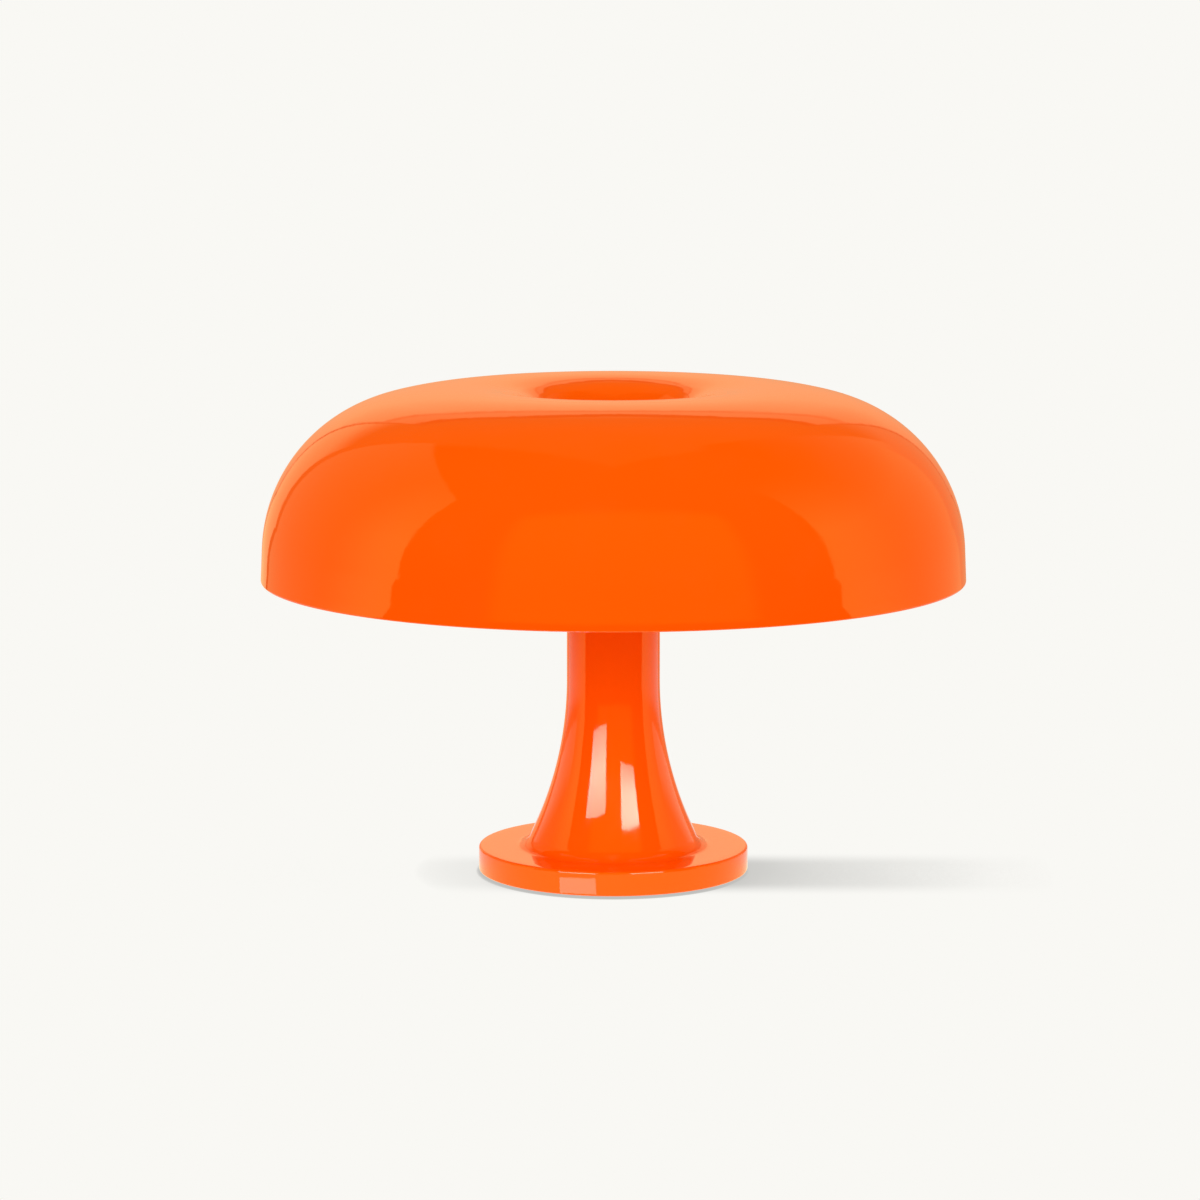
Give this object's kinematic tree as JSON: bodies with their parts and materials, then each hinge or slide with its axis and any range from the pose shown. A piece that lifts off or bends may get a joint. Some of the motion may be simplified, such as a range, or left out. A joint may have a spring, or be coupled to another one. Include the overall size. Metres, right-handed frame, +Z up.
{
  "type": "mushroom table lamp",
  "caption": "Mushroom-shaped table lamp in glossy orange plastic, with a wide domed shade open at a central well, on a flared stem and round foot; shade lifts off over globe bulbs.",
  "frame": {"origin": "on the floor under the lamp's axis, at the bottom of the foot pads", "axes": "+Z up along the stem, -Y the front, +Y the rear with the cord gland"},
  "size_m": [0.3199, 0.3198, 0.223],
  "materials": {
    "orange_plastic": "high gloss moulded",
    "plated_steel": "zinc plated",
    "black_rubber": "matt",
    "ballast_iron": "raw cast",
    "white_plastic": "satin",
    "brass": "drawn",
    "opal_glass": "opal",
    "cap_metal": "rolled",
    "black_glass": "glossy",
    "fibre": "vulcanised fibre",
    "brown_insulation": "satin silicone",
    "blue_insulation": "satin silicone"
  },
  "bodies": {
    "base": {"base_stem": "orange_plastic", "base_plate": "plated_steel", "base_screws": "plated_steel", "terminal_screws": "plated_steel", "terminal_fixing_screw": "plated_steel", "stem_nipple": "plated_steel", "nipple_nuts": "plated_steel", "nipple_washers": "plated_steel", "spacer_sleeve": "plated_steel", "shade_seat": "plated_steel", "socket_bracket": "plated_steel", "holder_screws": "plated_steel", "foot_pads": "black_rubber", "cord_gland": "black_rubber", "wire_bush": "black_rubber", "ballast_ring": "ballast_iron", "terminal_block": "white_plastic", "lamp_holder_1": "white_plastic", "lamp_holder_2": "white_plastic", "lamp_holder_3": "white_plastic", "lamp_holder_4": "white_plastic", "terminal_sleeves": "brass", "holder_sleeve_1": "brass", "holder_sleeve_2": "brass", "holder_sleeve_3": "brass", "holder_sleeve_4": "brass", "holder_contact_1": "brass", "holder_contact_2": "brass", "holder_contact_3": "brass", "holder_contact_4": "brass", "supply_lead_live": "brown_insulation", "jumper_leads_live": "brown_insulation", "supply_lead_neutral": "blue_insulation", "jumper_leads_neutral": "blue_insulation"},
    "shade": {"shade": "orange_plastic", "shade_washer": "fibre"},
    "knob_thread": {"knob_insert": "brass"},
    "knob": {"lock_knob": "orange_plastic"},
    "bulb_1_cap": {"bulb_cap_1": "cap_metal", "bulb_insulator_1": "black_glass", "bulb_contact_1": "cap_metal"},
    "bulb_1": {"bulb_glass_1": "opal_glass"},
    "bulb_2_cap": {"bulb_cap_2": "cap_metal", "bulb_insulator_2": "black_glass", "bulb_contact_2": "cap_metal"},
    "bulb_2": {"bulb_glass_2": "opal_glass"},
    "bulb_3_cap": {"bulb_cap_3": "cap_metal", "bulb_insulator_3": "black_glass", "bulb_contact_3": "cap_metal"},
    "bulb_3": {"bulb_glass_3": "opal_glass"},
    "bulb_4_cap": {"bulb_cap_4": "cap_metal", "bulb_insulator_4": "black_glass", "bulb_contact_4": "cap_metal"},
    "bulb_4": {"bulb_glass_4": "opal_glass"}
  },
  "joints": [
    {"name": "shade_lift", "type": "slide", "parent": "base", "child": "shade", "axis": [0, 0, 1], "range_m": [0, 0.075]},
    {"name": "knob_rise", "type": "slide", "parent": "shade", "child": "knob_thread", "axis": [0, 0, 1], "range_m": [0, 0.01002]},
    {"name": "knob_turn", "type": "hinge", "parent": "knob_thread", "child": "knob", "pos_m": [0, 0, 0.16], "axis": [0, 0, 1], "range_deg": [0, 3600]},
    {"name": "bulb_1_out", "type": "slide", "parent": "base", "child": "bulb_1_cap", "axis": [1, 0, 0], "range_m": [0, 0.01413]},
    {"name": "bulb_1_turn", "type": "hinge", "parent": "bulb_1_cap", "child": "bulb_1", "pos_m": [0, 0, 0.16], "axis": [1, 0, 0], "range_deg": [0, 1800]},
    {"name": "bulb_2_out", "type": "slide", "parent": "base", "child": "bulb_2_cap", "axis": [0, 1, 0], "range_m": [0, 0.01413]},
    {"name": "bulb_2_turn", "type": "hinge", "parent": "bulb_2_cap", "child": "bulb_2", "pos_m": [0, 0, 0.16], "axis": [0, 1, 0], "range_deg": [0, 1800]},
    {"name": "bulb_3_out", "type": "slide", "parent": "base", "child": "bulb_3_cap", "axis": [-1, 0, 0], "range_m": [0, 0.01413]},
    {"name": "bulb_3_turn", "type": "hinge", "parent": "bulb_3_cap", "child": "bulb_3", "pos_m": [0, 0, 0.16], "axis": [-1, 0, 0], "range_deg": [0, 1800]},
    {"name": "bulb_4_out", "type": "slide", "parent": "base", "child": "bulb_4_cap", "axis": [0, -1, 0], "range_m": [0, 0.01413]},
    {"name": "bulb_4_turn", "type": "hinge", "parent": "bulb_4_cap", "child": "bulb_4", "pos_m": [0, 0, 0.16], "axis": [0, -1, 0], "range_deg": [0, 1800]}
  ],
  "couplings": [
    {"joint": "knob_rise", "follows": "knob_turn", "m_per_rad": 0.00015915},
    {"joint": "bulb_1_out", "follows": "bulb_1_turn", "m_per_rad": 0.00044913},
    {"joint": "bulb_2_out", "follows": "bulb_2_turn", "m_per_rad": 0.00044913},
    {"joint": "bulb_3_out", "follows": "bulb_3_turn", "m_per_rad": 0.00044913},
    {"joint": "bulb_4_out", "follows": "bulb_4_turn", "m_per_rad": 0.00044913}
  ]
}
